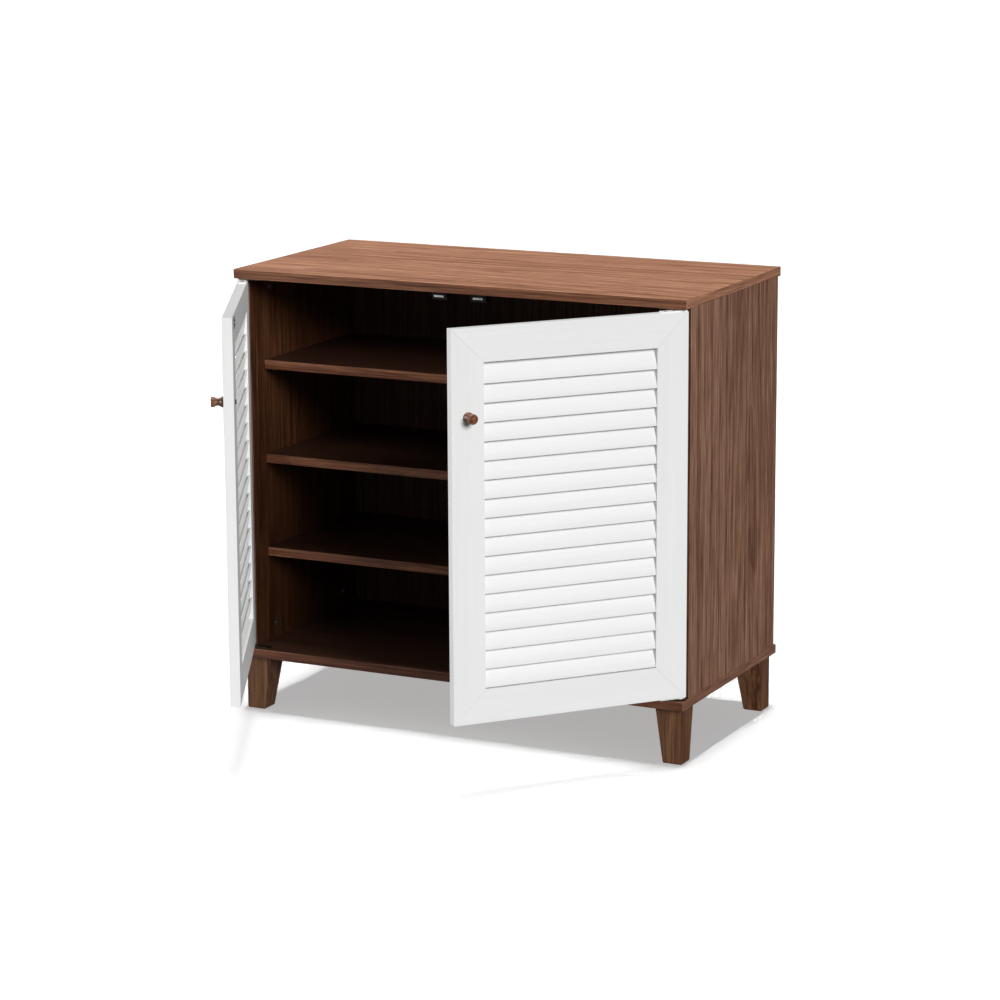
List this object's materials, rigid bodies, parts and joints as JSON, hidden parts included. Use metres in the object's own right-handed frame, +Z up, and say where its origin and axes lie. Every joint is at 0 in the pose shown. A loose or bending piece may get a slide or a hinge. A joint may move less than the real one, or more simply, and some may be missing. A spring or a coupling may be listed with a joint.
{
  "type": "shoe cabinet",
  "caption": "Low wooden shoe cabinet with hinged louvred doors, turned knobs, adjustable shelves and tapered corner legs.",
  "frame": {"origin": "on the floor, midway across, in the plane of the side panels' front edges, which is within 6 mm of the middle of the overall depth with the doors standing open", "axes": "+X to the right seen from the front, +Y to the back, +Z up; the doors face -Y"},
  "size_m": [0.8, 0.7286, 0.74],
  "materials": {
    "walnut_veneer": "satin lacquered walnut veneer",
    "solid_walnut": "satin lacquered solid walnut",
    "backing_board": "matt walnut print board",
    "white_paint": "satin white paint on wood",
    "steel": "nickel plated",
    "bronzed_steel": "dark bronzed steel",
    "zinc_plate": "zinc plated",
    "nylon": "matt nylon",
    "dark_plastic": "matt moulded plastic",
    "ferrite": "sintered ferrite",
    "beech": "bare beech"
  },
  "bodies": {
    "carcass": {"top_panel": "walnut_veneer", "base_panel": "walnut_veneer", "left_side_panel": "walnut_veneer", "right_side_panel": "walnut_veneer", "back_panel": "backing_board", "upper_shelf": "walnut_veneer", "middle_shelf": "walnut_veneer", "lower_shelf": "walnut_veneer", "shelf_pins": "steel", "front_left_leg": "solid_walnut", "front_right_leg": "solid_walnut", "rear_left_leg": "solid_walnut", "rear_right_leg": "solid_walnut", "leg_bolts": "steel", "leg_inserts": "zinc_plate", "carcass_dowels": "beech", "cam_bolts": "steel", "cam_discs": "zinc_plate", "left_upper_hinge_leaf": "bronzed_steel", "left_lower_hinge_leaf": "bronzed_steel", "right_upper_hinge_leaf": "bronzed_steel", "right_lower_hinge_leaf": "bronzed_steel", "hinge_leaf_screws": "bronzed_steel", "left_catch_body": "dark_plastic", "right_catch_body": "dark_plastic", "catch_magnets": "ferrite", "catch_poles": "steel", "catch_screws": "zinc_plate"},
    "left_door": {"left_hinge_stile": "white_paint", "left_free_stile": "white_paint", "left_top_rail": "white_paint", "left_bottom_rail": "white_paint", "left_slats": "white_paint", "left_mitre_dowels": "beech", "left_knob": "solid_walnut", "left_knob_screw": "bronzed_steel", "left_strike_plate": "steel", "left_strike_screws": "bronzed_steel", "left_upper_pivot": "white_paint", "left_lower_pivot": "white_paint", "left_thrust_washer": "nylon", "left_pivot_screws": "zinc_plate"},
    "right_door": {"right_hinge_stile": "white_paint", "right_free_stile": "white_paint", "right_top_rail": "white_paint", "right_bottom_rail": "white_paint", "right_slats": "white_paint", "right_mitre_dowels": "beech", "right_knob": "solid_walnut", "right_knob_screw": "bronzed_steel", "right_strike_plate": "steel", "right_strike_screws": "bronzed_steel", "right_upper_pivot": "white_paint", "right_lower_pivot": "white_paint", "right_thrust_washer": "nylon", "right_pivot_screws": "zinc_plate"}
  },
  "joints": [
    {"name": "left_door_hinge", "type": "hinge", "parent": "carcass", "child": "left_door", "pos_m": [-0.388, -0.012, 0.416], "axis": [0, 0, -1], "range_deg": [-63.1, 46.9]},
    {"name": "right_door_hinge", "type": "hinge", "parent": "carcass", "child": "right_door", "pos_m": [0.388, -0.012, 0.416], "axis": [0, 0, 1], "range_deg": [-50.1, 59.9]}
  ]
}
